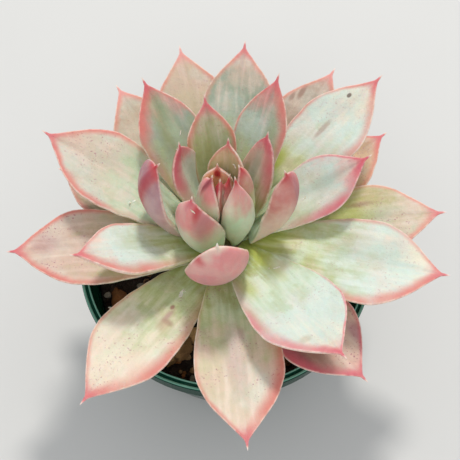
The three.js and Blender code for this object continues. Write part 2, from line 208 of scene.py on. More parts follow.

# What each leaf's colouring has of its own: face is the upper face's four tones from the base to the
# tip, and back the lower face's three. back_span is where the back's flush begins and where it is full,
# as shares of the length. rim is the margin's tone, width in mm, lean to one side and strength. A mark
# is (tone, mm along, mm across, half length, half width, strength, softness): a rubbed, bruised,
# flushed or dusted place on one face. leaf_27's ivory back mark is a painted highlight instead.
LOOKS = {
    "leaf_01": {"face": "olive olive khaki khaki", "rim": ("rosy", 2.3, 0.0, 0.85), "cool": 0.1,
        "blush_mm": 6},
    "leaf_02": {"face": "lime sage bone tan", "rim": ("salmon", 2.6, 0.0, 0.85), "tip": "pink"},
    "leaf_03": {"face": "lime sage sand clay", "rim": ("salmon", 2.4, 0.0, 0.85), "tip": "pink"},
    "leaf_04": {"face": "olive straw wheat tan", "rim": ("coral", 2.3, -0.3, 0.85), "cool": 0.15,
        "specks": 0.6},
    "leaf_05": {"face": "lime sage taupe taupe", "rim": ("salmon", 2.3, -0.2, 0.85), "tip": "pink",
        "marks": [("brown", 52, 5, 2.4, 0.8, 0.6, 0.5), ("brown", 49, 7, 1.6, 0.7, 0.5, 0.5)]},
    "leaf_06": {"face": "khaki khaki tan shell", "cool": 0.0},
    "leaf_07": {"face": "brown brown clay blush", "rim": ("rose", 3.2, -0.4, 0.85), "warm": 0.6,
        "specks": 0.9, "marks": [("brown", 35, -6, 13, 5, 0.85, 0.7),
            ("maroon", 40, -10.5, 12, 2.6, 0.75, 0.5), ("mauve", 44, 8, 5, 2, 0.7, 0.6)]},
    "leaf_08": {"face": "lime lime straw clay", "rim": ("salmon", 2.3, -0.3, 0.85), "specks": 0.8,
        "marks": [("lime", 33, 3, 7, 4, 0.6, 0.7), ("brown", 38, 6, 3.4, 0.8, 0.5, 0.6)]},
    "leaf_09": {"face": "lime sage shell petal", "rim": ("coral", 3.6, 0.5, 0.85), "specks": 0.6,
        "marks": [("brown", 24.5, 1.4, 0.8, 0.6, 0.85, 0.5), ("mauve", 27.4, 2.2, 2.2, 0.7, 0.6, 0.9),
            ("brown", 29.3, 3.6, 0.8, 1.5, 0.6, 0.8), ("tan", 30.5, 3, 1.8, 1.2, 0.5, 0.9)]},
    "leaf_10": {"face": "lime dew slate clay", "rim": ("salmon", 2.3, 0.0, 0.85), "specks": 0.5},
    "leaf_11": {"face": "olive straw clay clay", "rim": ("coral", 2.6, 0.15, 0.85), "specks": 0.95,
        "cool": 0.2, "marks": [("mauve", 50, -2, 4, 3, 0.35, 0.6)]},
    "leaf_12": {"face": "mint pear mist shell", "rim": ("coral", 2.6, -0.35, 0.85), "cool": 0.5,
        "marks": [("lime", 25, 6, 5, 1.8, 0.8, 0.6), ("umber", 54, 3, 0.8, 0.6, 0.8, 0.3),
            ("brown", 41, 2, 3.4, 0.7, 0.4, 0.5)]},
    "leaf_13": {"face": "lime sage sand petal", "rim": ("coral", 3.4, 0.45, 0.85), "specks": 0.7,
        "warm": 0.45, "marks": [("mauve", 30, 1, 2.4, 1.2, 0.4, 0.6),
            ("lilac", 36, -1, 8, 3, 0.5, 0.8)]},
    "leaf_14": {"face": "mint dew slate rosy", "rim": ("coral", 3.4, 0.6, 0.85), "warm": 0.1,
        "cool": 0.2, "marks": [("olive", 30, 0, 16, 3.0, 0.6, 0.8),
            ("mint", 31, -1.5, 5, 1.4, 0.5, 1.0)]},
    "leaf_15": {"face": "lime sage mist shell", "rim": ("coral", 3.4, -0.4, 0.85), "cool": 0.6,
        "marks": [("slate", 38, 4, 9, 4, 0.35, 0.8)]},
    "leaf_16": {"face": "lime sage mist blush", "rim": ("coral", 3.7, 0.55, 0.95), "cool": 0.5,
        "warm": 0.1},
    "leaf_17": {"face": "mint dew slate rosy", "rim": ("coral", 2.9, -0.6, 0.85), "warm": 0.1,
        "marks": [("olive", 24, -3, 12, 1.8, 0.5, 0.8)]},
    "leaf_18": {"face": "lime mint mist shell", "rim": ("rose", 3.0, -0.65, 0.95), "cool": 0.5,
        "warm": 0.15, "marks": [("lime", 13, 4, 9, 2, 0.8, 0.7), ("lime", 17, -6, 6, 2.4, 0.6, 0.7),
            ("ochre", 44, -4, 1.0, 1.6, 0.3, 0.6), ("ivory", 17, 5.5, 3.4, 2.0, 0.4, 1.0)]},
    "leaf_19": {"face": "mint mint bone clay", "rim": ("coral", 2.8, 0.0, 0.85), "specks": 0.7},
    "leaf_20": {"face": "dew mint mist pink", "rim": ("rose", 3.0, -0.6, 0.95), "cool": 0.5,
        "marks": [("slate", 28, 0, 12, 1.8, 0.5, 0.8), ("ivory", 22, -1, 4, 2.0, 0.4, 1.0)]},
    "leaf_21": {"face": "olive olive fern clay", "rim": ("coral", 2.4, 0.0, 0.85), "cool": 0.2,
        "warm": 0.0, "marks": [("olive", 18, 0, 12, 3, 0.5, 0.9)]},
    "leaf_22": {"face": "lime sage sage clay", "back": "lilac pink petal", "back_span": (0.1, 0.8),
        "flush_mm": 4, "back_marks": [("mauve", 16, -2, 9, 6, 0.35, 0.9),
            ("red", 30, -5.4, 1.8, 1.6, 0.7, 0.9), ("petal", 31, -3, 1.6, 1.4, 0.7, 0.8)]},
    "leaf_23": {"face": "mint mint mist clay", "back": "clay mauve red", "back_span": (0.1, 0.9),
        "back_marks": [("red", 28, 1.5, 12, 1.5, 0.65, 0.9), ("lilac", 22, 6, 12, 2.2, 0.6, 0.9)]},
    "leaf_24": {"face": "sage fern clay pink", "rim": ("rose", 3.4, -0.8, 0.95),
        "back": "pear mauve rosy", "warm": 0.0, "marks": [("slate", 16, 1, 10, 1.2, 0.6, 0.8)]},
    "leaf_25": {"face": "mint mint mist clay", "back": "petal rosy red", "back_span": (0.1, 0.8),
        "back_marks": [("mauve", 24, 1.5, 9, 1.6, 0.6, 0.9), ("petal", 14, -1, 8, 2, 0.5, 0.9)]},
    "leaf_26": {"face": "mint mint bone rosy", "rim": ("rose", 3.7, 0.9, 0.95),
        "back": "pear rosy rosy", "warm": 0.1, "marks": [("slate", 16, -2, 10, 1.4, 0.6, 0.8)]},
    "leaf_27": {"back": "mint pink red", "back_span": (0.45, 0.85), "flush_mm": 5,
        # The ivory back mark on this leaf's left shoulder is a painted highlight
        "back_marks": [("ivory", 24, -3, 5, 1.2, 0.5, 0.8)]},
    "leaf_28": {"back": "mint pink rose", "back_span": (0.4, 0.8),
        "back_marks": [("mauve", 21, 3.6, 7, 2.2, 0.6, 0.9), ("red", 27.6, 2, 3.6, 0.8, 0.75, 0.8)]},
    "leaf_29": {"face": "olive olive straw wheat", "rim": ("salmon", 1.2, 0.0, 0.85), "cool": 0.0,
        "warm": 0.0, "blush_mm": 6},
    "leaf_30": {"face": "lime sage olive clay", "back": "sage rosy red", "back_span": (0.5, 0.95),
        "flush_mm": 7},
    "leaf_31": {"back": "mint pink rose", "back_span": (0.5, 0.9), "flush_mm": 7,
        "back_marks": [("maroon", 25, 0, 3, 0.7, 0.7, 0.7)]},
    "leaf_32": {"back": "mint pink red", "back_span": (0.5, 0.9), "flush_mm": 8},
    "leaf_33": {"face": "olive apricot apricot apricot", "rim": ("pink", 1.0, 0.0, 0.85),
        "tip": "salmon", "blush_mm": 4, "cool": 0.0, "warm": 0.0,
        "marks": [("red", 20.5, 0, 2.2, 1.0, 0.95, 0.5)]},
    "leaf_34": {"back": "pear rose red", "back_span": (0.5, 0.85), "flush_mm": 8},
}

# Strips of dry skin: leaf, share of its length, place across, face, length, width, turn and curl
FLECKS = [
    ("leaf_09", 0.31, 0.06, 1, 3.6, 1.2, 8, 0.5),
    ("leaf_09", 0.29, 0.12, 1, 1.8, 0.8, -50, 0.6),
    ("leaf_28", 0.86, 0.42, -1, 3.0, 1.0, 60, 0.7),
    ("leaf_19", 0.44, 0.5, 1, 2.8, 0.7, 70, 1.2),
    ("leaf_18", 0.31, 0.5, 1, 2.0, 0.6, 60, 0.3),
    ("leaf_18", 0.28, 0.35, 1, 1.4, 0.4, -40, 0.3),
    ("leaf_20", 0.50, -0.08, 1, 1.6, 0.4, 30, 0.3),
    ("leaf_14", 0.62, -0.3, 1, 1.8, 0.4, -40, 0.4),
    ("leaf_14", 0.54, 0.0, 1, 1.6, 0.4, 60, 0.3),
    ("leaf_29", 0.72, -0.5, 1, 1.6, 0.6, 40, 0.3),
    ("leaf_06", 0.90, 0.0, 1, 8.0, 1.6, 22, 1.6),
    ("leaf_06", 0.92, 0.0, 1, 6.4, 1.2, -34, 2.6),
]


def linear(tone):
    """A named tone as linear colour."""
    channels = []
    for level in TONES[tone]:
        share = level / 255
        channels.append(share / 12.92 if share <= 0.04045 else ((share + 0.055) / 1.055) ** 2.4)
    return (*channels, 1.0)


def smooth(value, low, high):
    """0 below low, 1 above high, and a smooth step between."""
    share = np.clip((value - low) / (high - low), 0, 1)
    return share * share * (3 - 2 * share)


def mesh_object(name, points, faces, attributes=None):
    """A smooth mesh from points in millimetres, with one number per point for each attribute."""
    mesh = bpy.data.meshes.new(name)
    mesh.from_pydata((np.asarray(points) * MM).tolist(), [], [list(f) for f in faces])
    for key, values in (attributes or {}).items():
        layer = mesh.attributes.new(key, "FLOAT", "POINT")
        layer.data.foreach_set("value", np.asarray(values, np.float32).ravel())
    mesh.polygons.foreach_set("use_smooth", [True] * len(mesh.polygons))
    mesh.update()
    obj = bpy.data.objects.new(name, mesh)
    bpy.context.scene.collection.objects.link(obj)
    return obj


def tube_faces(rows, around):
    """Quads between rings of points, with a fan over the first and the last ring."""
    pairs = [(k, (k + 1) % around) for k in range(around)]
    faces = []
    for here in range(0, (rows - 1) * around, around):
        above = here + around
        faces.extend([here + k, here + after, above + after, above + k] for k, after in pairs)
    start = rows * around
    top = start - around
    faces.extend([start, after, k] for k, after in pairs)
    faces.extend([start + 1, top + k, top + after] for k, after in pairs)
    return faces


def tube_object(name, rings, start, end, attributes=None):
    """A closed skin over rings of points, from a start point to an end point."""
    faces = tube_faces(len(rings), len(rings[0]))
    return mesh_object(name, np.vstack([*rings, start, end]), faces, attributes)


# Leaf form

# What each point of a leaf knows: its place along and across as shares and in millimetres, how far it
# is from the edge and from the tip, and how far it is on the upper face
LEAF_FIELDS = ("along", "across", "along_mm", "across_mm", "edge", "upper", "tip")


def leaf_sizes(name):
    *sizes, extras = LEAVES[name]
    own = dict(zip(("direction", "length", "width", "rise", "height"), sizes))
    return {**LEAF_DEFAULTS, **own, **extras}


def along_blade(leaf, share):
    """A share of the leaf's length as a share of the blade, which ends where the spine begins."""
    return np.clip(share / (1 - leaf["spine"] / leaf["length"]), 0, 1)


def spine_radius(leaf, share):
    growth = np.clip((along_blade(leaf, share) - 0.5) / 0.5, 0, 1)
    taper = np.clip((1 - share) * leaf["length"] / leaf["spine"], 0, 1) ** 0.7
    return SPINE_RADIUS * growth * taper


def half_width(leaf, share):
    along = along_blade(leaf, share)
    widest = leaf["widest_at"]
    swell = np.sin(math.pi / 2 * np.clip(along / widest, 0, 1)) ** 1.35
    past = np.clip((along - widest) / (1 - widest), 0, 1)
    lower = leaf["base_width"] + (1 - leaf["base_width"]) * swell
    upper = (1 - past ** 2) ** leaf["shoulder"]
    return leaf["width"] / 2 * np.where(along < widest, lower, upper) + spine_radius(leaf, share)


def thickness_at(leaf, share):
    along = along_blade(leaf, share)
    belly = 0.5 + 0.5 * np.sin(math.pi * along ** 0.75)
    close = (1 - along ** 5) ** 0.8
    return leaf["thickness"] * belly * close + 2 * spine_radius(leaf, share)


def midrib(leaf, shares):
    """Points and directions of the midrib at some shares of the leaf's length."""
    fine = np.linspace(0, 1, 401)
    low, high = leaf["rise"]
    rise = np.radians(low + (high - low) * fine)
    heading = np.radians(leaf["direction"] + leaf["swing"] * fine ** 1.5)
    ahead = np.stack([np.cos(rise) * np.cos(heading), np.cos(rise) * np.sin(heading), np.sin(rise)], 1)
    steps = (ahead[1:] + ahead[:-1]) / 2 * np.diff(fine)[:, None] * leaf["length"]
    root = math.radians(leaf["direction"])
    radius = leaf["root_radius"]
    start = np.array([radius * math.cos(root), radius * math.sin(root) - leaf["forward"], leaf["height"]])
    points = start + np.concatenate([np.zeros((1, 3)), np.cumsum(steps, 0)])
    middle = np.stack([np.interp(shares, fine, points[:, k]) for k in range(3)], 1)
    tangent = np.stack([np.interp(shares, fine, ahead[:, k]) for k in range(3)], 1)
    return middle, tangent / np.linalg.norm(tangent, axis=1)[:, None], np.interp(shares, fine, heading)


def section_frames(leaf, shares, tangent, heading):
    """Which way the blade spreads, and which way its upper face looks, along the leaf."""
    level = np.stack([-np.sin(heading), np.cos(heading), np.zeros(len(shares))], 1)
    over = np.cross(tangent, level)
    roll = np.radians(leaf["roll"]) * np.clip(shares / 0.35, 0, 1)
    side = np.cos(roll)[:, None] * level + np.sin(roll)[:, None] * over
    return side, np.cross(tangent, side)


def ripples(leaf_random, along_mm, across_mm):
    """Slow swells over the blade, about a millimetre from crest to trough."""
    total = np.zeros(np.broadcast(along_mm, across_mm).shape)
    for _ in range(5):
        wave_along = leaf_random.uniform(0.12, 0.4)
        wave_across = leaf_random.uniform(-0.35, 0.35)
        phase = leaf_random.uniform(0, 2 * math.pi)
        total = total + np.sin(wave_along * along_mm + wave_across * across_mm + phase)
    return total / 5


def blade_section(leaf, leaf_random, shares, along, across, lift):
    """How far each point of the skin lies to the side of the midrib, and how far above it."""
    on_blade = smooth(1 - along, 0.0, 0.12)
    along_mm = shares * leaf["length"]
    half = half_width(leaf, shares)
    wobble = MARGIN_WAVE * ripples(leaf_random, 3 * along_mm, 0 * across) * on_blade
    spread = half * across + wobble * np.sign(across) * np.abs(across) ** 6
    cup = leaf["cup"] * np.clip(shares / 0.3, 0, 1) * (0.6 + 0.4 * np.clip((1 - shares) / 0.4, 0, 1))
    part = np.where(lift > 0, SHARE_ABOVE, SHARE_BELOW)
    height = cup * half * across ** 2 + thickness_at(leaf, shares) * (part * lift)
    fold = FOLD_DEPTH * smooth(along, 0.3, 0.8) * np.exp(-((across / 0.14) ** 2)) * np.clip(lift, 0, 1)
    keel = KEEL_HEIGHT * smooth(along, 0.55, 0.9) * np.exp(-((across / 0.2) ** 2)) * np.clip(-lift, 0, 1)
    swell = SWELL_HEIGHT * ripples(leaf_random, along_mm, spread) * smooth(along, 0.1, 0.35)
    return spread, height + (swell - fold - keel) * on_blade


def edge_distance(points):
    """How far each point is from the nearer of the leaf's two edges, measured round the skin."""
    steps = np.linalg.norm(np.roll(points, -1, 1) - points, axis=2)
    walked = np.concatenate([np.zeros((LEAF_ROWS, 1)), np.cumsum(steps, 1)], 1)
    half_way = LEAF_AROUND // 2
    here = walked[:, :-1]
    back = walked[:, -1:] - here
    return np.minimum(np.minimum(here, back), np.abs(here - walked[:, half_way:half_way + 1]))


def leaf_object(name, seed):
    """One leaf: the solid's section at fine steps, with a fold, a keel, swells and a wavy margin."""
    leaf = leaf_sizes(name)
    length = leaf["length"]
    shares = np.clip(1 - (1 - np.linspace(0, 1, LEAF_ROWS)) ** 1.35, 0, 0.999)
    middle, tangent, heading = midrib(leaf, shares)
    side, up = section_frames(leaf, shares, tangent, heading)
    shares = shares[:, None]
    along = along_blade(leaf, shares)
    angle = np.linspace(0, 2 * math.pi, LEAF_AROUND, endpoint=False)[None]
    across = np.cos(angle)
    lift = np.sign(np.sin(angle)) * np.abs(np.sin(angle)) ** 0.88
    spread, height = blade_section(leaf, random.Random(seed), shares, along, across, lift)
    points = middle[:, None] + side[:, None] * spread[..., None] + up[:, None] * height[..., None]
    fields = {
        "along": (along, 0, 1), "across": (across, 0, 0), "along_mm": (shares * length, 0, length),
        "across_mm": (spread, 0, 0), "edge": (edge_distance(points), 2, 0),
        "upper": (np.clip(0.5 + 3 * lift, 0, 1), 1, 0.5), "tip": (length - shares * length, length, 0),
    }
    attributes = {}
    for key, (values, root, end) in fields.items():
        attributes[key] = np.append(np.broadcast_to(values, spread.shape).ravel(), (root, end))
    end = middle[-1] + tangent[-1] * 0.005
    obj = tube_object(name + "_fine", points, middle[0], end, attributes)
    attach(obj, "root")
    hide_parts(name)
    return obj


def skin_spot(leaf, share, across, face):
    """A spot just off the leaf's skin, with the directions along, across and away from the leaf."""
    shares = np.array([share])
    middle, tangent, heading = midrib(leaf, shares)
    side, up = section_frames(leaf, shares, tangent, heading)
    half = float(half_width(leaf, shares)[0])
    part = SHARE_ABOVE if face > 0 else SHARE_BELOW
    lift = float(thickness_at(leaf, shares)[0]) * part * math.sqrt(1 - across ** 2)
    cupped = leaf["cup"] * min(1, share / 0.3) * half * across ** 2
    spot = middle[0] + side[0] * across * half + up[0] * (cupped + face * (lift + FLECK_LIFT))
    return spot, tangent[0], side[0], up[0]


def fleck_object(name, leaf_name, share, across, face, length, width, turn, curl, seed):
    """A crumpled strip of dry skin lying on a leaf: face 1 is the upper face and -1 the lower one."""
    fleck_random = np.random.default_rng(seed)
    spot, tangent, side, up = skin_spot(leaf_sizes(leaf_name), share, across, face)
    ahead = math.cos(math.radians(turn)) * tangent + math.sin(math.radians(turn)) * side
    wide = np.cross(up, ahead)
    off = face * up
    angle = np.linspace(0, 2 * math.pi, FLECK_AROUND, endpoint=False)[:, None]
    sway = fleck_random.uniform(-0.5, 0.5)
    points = []
    for row in range(FLECK_ROWS):
        reach = 0.98 * (2 * row / (FLECK_ROWS - 1) - 1)
        centre = spot + ahead * reach * length / 2 + off * curl * max(0, reach) ** 2
        centre = centre + wide * sway * width * math.sin(2.6 * reach)
        ragged = width / 2 * math.sqrt(1 - reach ** 2) * fleck_random.uniform(0.75, 1.1)
        rumple = FLECK_RUMPLE * math.sin(4 * reach + 3 * sway) * np.cos(angle) ** 2
        ring = centre + np.cos(angle) * ragged * wide + np.sin(angle) * FLECK_HALF_THICKNESS * up
        points.append(ring + rumple * off)
    reach = ahead * length / 2
    fleck = tube_object(name, points, spot - reach, spot + reach + off * curl)
    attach(fleck, "root")
    return fleck


# Materials

class Graph:
    """Short calls for a material's nodes. They take numbers, colours, named tones and sockets alike."""

    def __init__(self, name):
        self.material = bpy.data.materials.new(name)
        self.material.use_nodes = True
        self.tree = self.material.node_tree
        self.shader = self.tree.nodes["Principled BSDF"]

    def put(self, socket, value):
        if isinstance(value, str):
            value = linear(value)
        if isinstance(value, bpy.types.NodeSocket):
            self.tree.links.new(value, socket)
        else:
            socket.default_value = value

    def node(self, kind, inputs, output=0, **settings):
        """Adds a node and gives one of its outputs."""
        node = self.tree.nodes.new(kind)
        for key, value in settings.items():
            setattr(node, key, value)
        for key, value in inputs.items():
            self.put(node.inputs[key], value)
        return node.outputs[output]

    def attribute(self, name):
        return self.node("ShaderNodeAttribute", {}, "Fac", attribute_name=name)

    def math(self, operation, first, second=0.0):
        return self.node("ShaderNodeMath", {0: first, 1: second}, operation=operation)

    def swing(self, value, amount):
        """A pattern from 0 to 1 as a swing to both sides of zero."""
        return self.times(self.math("SUBTRACT", value, 0.5), amount)

    def times(self, *values):
        return reduce(partial(self.math, "MULTIPLY"), values)

    def plus(self, *values):
        return reduce(partial(self.math, "ADD"), values)

    def weigh(self, start, *parts):
        """A value with some patterns added to it, each by its own weight."""
        for pattern, weight in parts:
            start = self.plus(start, self.times(pattern, weight))
        return start

    def step(self, value, low, high):
        inputs = {"Value": value, "From Min": low, "From Max": high}
        return self.node("ShaderNodeMapRange", inputs, interpolation_type="SMOOTHSTEP")

    def fade(self, value, low, high):
        return self.math("SUBTRACT", 1.0, self.step(value, low, high))

    def mix(self, factor, first, second, blend="MIX"):
        inputs = {0: factor, 6: first, 7: second}
        return self.node("ShaderNodeMix", inputs, 2, data_type="RGBA", blend_type=blend)

    def lay(self, colour, over, *shares):
        """A second colour laid over the first, as strongly as the shares' product."""
        return self.mix(self.times(*shares), colour, over)

    def place(self, seed=0):
        """The point in millimetres, shifted so that no two pieces share a pattern."""
        spot = self.node("ShaderNodeTexCoord", {}, "Object")
        return self.scaled(spot, (1 / MM,) * 3, (17.0 * seed, 5.0 * seed, 0))

    def scaled(self, vector, scale, shift=(0, 0, 0)):
        inputs = {"Vector": vector, "Scale": scale, "Location": shift}
        return self.node("ShaderNodeMapping", inputs)

    def noise(self, vector, scale, detail=2.0, roughness=0.5):
        inputs = {"Vector": vector, "Scale": scale, "Detail": detail, "Roughness": roughness}
        return self.node("ShaderNodeTexNoise", inputs)

    def cells(self, vector, scale):
        inputs = {"Vector": vector, "Scale": scale}
        return self.node("ShaderNodeTexVoronoi", inputs, "Distance")

    def bumps(self, *layers):
        """Fine relief: patterns on top of each other, each as many millimetres high as it says."""
        below = {}
        for pattern, height in layers:
            inputs = {"Height": pattern, "Distance": height * MM, "Strength": 1.0, **below}
            below = {"Normal": self.node("ShaderNodeBump", inputs)}
        return below["Normal"]

    def finish(self, colour, roughness, normal=None, **uniform):
        inputs = {"Base Color": colour, "Roughness": roughness, **uniform}
        if normal is not None:
            inputs["Normal"] = normal
        for key, value in inputs.items():
            self.put(self.shader.inputs[key.replace("_", " ")], value)
        return self.material


def leaf_fields(graph, seed):
    """The places and patterns that a leaf's colouring is drawn with."""
    place = graph.place(seed)
    field = SimpleNamespace(**{name: graph.attribute(name) for name in LEAF_FIELDS})
    along = graph.times(field.along_mm, 0.08)
    drawn_out = {0: graph.times(field.across_mm, 0.6), 1: along, 2: float(seed)}
    lengthwise = graph.node("ShaderNodeCombineXYZ", drawn_out)
    field.cloud = graph.noise(place, 0.17, 3.0)
    field.drift = graph.noise(place, 0.07, 2.0)
    field.mottle = graph.noise(place, 0.6, 4.0, 0.6)
    field.grain = graph.noise(place, 2.6, 3.0, 0.6)
    field.streak = graph.noise(lengthwise, 1.0, 3.0, 0.5)
    field.pepper = graph.noise(place, 1.5, 2.0)
    field.cluster = graph.noise(place, 0.11, 1.0)
    field.flush = graph.noise(place, 0.13, 3.0, 0.55)
    return field


def marked(graph, colour, marks, field, loose):
    """Adds ragged oval marks to a face."""
    for tone, along, across, half_length, half_width_mm, strength, softness in marks:
        down = graph.math("DIVIDE", graph.math("SUBTRACT", field.along_mm, along), half_length)
        over = graph.math("DIVIDE", graph.math("SUBTRACT", field.across_mm, across), half_width_mm)
        squared = graph.plus(graph.times(down, down), graph.times(over, over))
        ragged = graph.weigh(graph.math("SQRT", squared), (loose, 2.5 * softness))
        inside = graph.fade(ragged, 1 - softness, 1 + softness)
        colour = graph.lay(colour, tone, inside, strength)
    return colour


def upper_face(graph, look, field):
    """Waxy upper face: a rubbed base, four tones that run into each other, clouds, and specks."""
    loose = graph.swing(field.cloud, 0.45)
    drawn = graph.swing(field.streak, 0.35)
    reach = graph.plus(field.along, loose, drawn)
    colour, *tones = look["face"].split()
    for tone, low, high in zip(tones, (0.1, 0.34, 0.68), (0.36, 0.72, 1.05)):
        colour = graph.mix(graph.step(reach, low, high), colour, tone)
    open_face = graph.step(field.along, 0.1, 0.4)
    misty = graph.step(graph.weigh(field.drift, (field.mottle, 0.2)), 0.54, 0.74)
    colour = graph.lay(colour, "mist", misty, open_face, look["cool"])
    flushed = graph.step(graph.weigh(field.flush, (field.mottle, 0.25)), 0.56, 0.78)
    colour = graph.lay(colour, "blush", flushed, open_face, look["warm"])
    colour = graph.lay(colour, "ivory", graph.step(field.streak, 0.42, 0.74), 0.2)
    rubbed = graph.fade(field.streak, 0.34, 0.54)
    colour = graph.lay(colour, "olive", rubbed, graph.fade(field.along, 0.15, 0.8), 0.32)
    worn = graph.fade(field.cloud, 0.36, 0.52)
    colour = graph.lay(colour, "fern", worn, graph.fade(field.along, 0.3, 1.0), 0.34)
    spots = graph.step(field.pepper, 0.61, 0.69)
    spotted = graph.step(field.cluster, 0.46, 0.6)
    colour = graph.lay(colour, "mauve", spots, spotted, look["specks"])
    return marked(graph, colour, look["marks"], field, loose)


def lower_face(graph, look, field):
    """Outer face: pale green at the base, flushed towards the tip, with dusty bloom."""
    loose = graph.swing(field.streak, 0.3)
    reach = graph.plus(field.along, loose, graph.swing(field.cloud, 0.4))
    base, flush, end = look["back"].split()
    colour = graph.mix(graph.step(reach, *look["back_span"]), base, flush)
    colour = graph.lay(colour, "petal", graph.step(field.flush, 0.42, 0.66), 0.35)
    tipped = graph.fade(graph.weigh(field.tip, (loose, 6)), 1.5, look["flush_mm"])
    colour = graph.lay(colour, end, tipped, 0.9)
    return marked(graph, colour, look["back_marks"], field, loose)


def margin(graph, look, field, colour):
    """The flushed band along the upper face's edge, and a painted highlight: a pale line on the very edge.

    The band is broken in the middle of the leaf, wide and strong near the tip, and may lean to one side.
    """
    tone, rim_mm, rim_lean, rim_amount = look["rim"]
    ragged = graph.weigh(0.5, (field.cloud, 1.0))
    widen = graph.weigh(0.5, (field.along, 0.7))
    tilt = graph.weigh(-1.0, (graph.step(field.across, -0.5, 0.5), 2.0))
    lean = graph.weigh(1.0, (tilt, rim_lean))
    width = graph.times(ragged, widen, lean, rim_mm)
    band = graph.fade(field.edge, graph.times(width, 0.15), width)
    strong = graph.weigh(0.35, (graph.step(field.along, 0.3, 0.75), 0.65))
    patchy = graph.weigh(0.6, (graph.step(field.drift, 0.35, 0.6), 0.4))
    started = graph.step(field.along, 0.1, 0.4)
    colour = graph.lay(colour, tone, band, strong, patchy, started, rim_amount, field.upper)
    # The pale line on the very edge is a painted highlight, patchy along the leaf
    painted_edge_highlight = graph.times(graph.fade(field.edge, 0.15, 0.65), graph.step(field.along, 0.05, 0.3))
    edge_highlight_strength = graph.weigh(0.12, (graph.step(field.mottle, 0.35, 0.6), 0.34))
    return graph.lay(colour, "ivory", painted_edge_highlight, edge_highlight_strength)


def point(graph, look, field, colour):
    """The blushed tip and its ivory spine."""
    ragged = graph.plus(field.tip, graph.swing(field.mottle, 3))
    blush = graph.fade(ragged, 1.5, look["blush_mm"])
    colour = graph.lay(colour, look["tip"], blush, look["tip_amount"], field.upper)
    return graph.lay(colour, "ivory", graph.fade(field.tip, 0.5, 1.6), 0.6)


def leaf_material(name, seed):
    look = {**LOOK_DEFAULTS, **LOOKS[name]}
    graph = Graph(name + "_skin")
    field = leaf_fields(graph, seed)
    colour = graph.mix(field.upper, lower_face(graph, look, field), upper_face(graph, look, field))
    colour = margin(graph, look, field, colour)
    colour = point(graph, look, field, colour)
    shade = graph.weigh(0.86, (field.mottle, 0.16), (field.grain, 0.12))
    tint = graph.node("ShaderNodeCombineColor", {0: shade, 1: shade, 2: shade})
    colour = graph.mix(1.0, colour, tint, "MULTIPLY")
    rough = graph.weigh(0.36, (field.mottle, 0.2), (field.cloud, 0.16))
    normal = graph.bumps((field.mottle, 0.16), (field.grain, 0.05))
    return graph.finish(
        colour, rough, normal, Subsurface_Weight=0.22, Subsurface_Radius=(1.0, 0.45, 0.25),
        Subsurface_Scale=0.003, Specular_IOR_Level=0.4, Sheen_Weight=0.06, Sheen_Roughness=0.5)


def husk_material():
    """Dry, papery skin: off-white with straw-coloured creases."""
    graph = Graph("dry_skin")
    place = graph.place()
    crease = graph.noise(place, 2.4, 4.0, 0.6)
    colour = graph.mix(graph.step(crease, 0.2, 0.5), "bone", "ivory")
    return graph.finish(
        colour, graph.weigh(0.35, (crease, 0.3)), graph.bumps((crease, 0.1)),
        Subsurface_Weight=0.2, Subsurface_Scale=0.001)


def pot_material():
    """Dark bottle-green plastic: glossy, faintly streaked from the mould, dusty in places, with a painted
    highlight on the rim's bead crests.
    """
    graph = Graph("pot_plastic")
    place = graph.place()
    streak = graph.noise(graph.scaled(place, (0.5, 0.5, 0.04)), 1.0, 3.0)
    dust = graph.step(graph.noise(place, 0.35, 4.0, 0.65), 0.52, 0.75)
    colour = graph.mix(streak, (0.002, 0.026, 0.016, 1), (0.004, 0.052, 0.032, 1))
    colour = graph.lay(colour, (0.35, 0.36, 0.30, 1), dust, 0.05)
    # Pale mint on the bead crests is a painted highlight, not the plastic's own colour
    colour = graph.lay(colour, (0.30, 0.62, 0.48, 1), graph.attribute("painted_rim_highlight"), 0.55)
    rough = graph.weigh(0.12, (dust, 0.2), (streak, 0.05))
    return graph.finish(colour, rough, graph.bumps((streak, 0.12)), IOR=1.1)


def soil_material():
    graph = Graph("soil_mix")
    place = graph.place()
    lumps = graph.cells(place, 0.7)
    crumbs = graph.noise(place, 2.2, 5.0, 0.7)
    damp = graph.step(graph.noise(place, 0.12, 2.0), 0.4, 0.65)
    colour = graph.mix(crumbs, (0.006, 0.004, 0.003, 1), (0.075, 0.040, 0.022, 1))
    colour = graph.lay(colour, (0.012, 0.008, 0.006, 1), damp, 0.6)
    return graph.finish(colour, graph.weigh(0.6, (crumbs, 0.35)), graph.bumps((lumps, 0.6), (crumbs, 0.5)))


def stone_material(name, dark, light):
    """Porous grit: each stone has a shade of its own, with pits and dust, and its pores darkened with
    painted shade.
    """
    graph = Graph(name)
    place = graph.place()
    pits = graph.noise(place, 2.8, 5.0, 0.7)
    shade = graph.times(graph.attribute("shade"), 0.7)
    colour = graph.mix(graph.weigh(shade, (pits, 0.35)), dark, light)
    # Small dark spots are painted shade in the stone's pores
    painted_pore_shade = graph.fade(graph.cells(place, 2.2), 0.1, 0.35)
    colour = graph.lay(colour, (0.02, 0.012, 0.008, 1), painted_pore_shade, 0.5)
    return graph.finish(colour, graph.weigh(0.62, (pits, 0.3)), graph.bumps((pits, 0.35)))


def stem_material():
    graph = Graph("stem_bark")
    place = graph.place()
    rings = graph.noise(graph.scaled(place, (0.15, 0.15, 1.1)), 1.0, 4.0)
    fibres = graph.noise(place, 1.8, 5.0, 0.65)
    colour = graph.mix(rings, (0.07, 0.045, 0.028, 1), (0.30, 0.23, 0.14, 1))
    colour = graph.lay(colour, (0.16, 0.15, 0.08, 1), fibres, 0.5)
    normal = graph.bumps((graph.plus(rings, fibres), 0.5))
    return graph.finish(colour, graph.weigh(0.55, (fibres, 0.35)), normal)


# Pot, stem, soil and grit

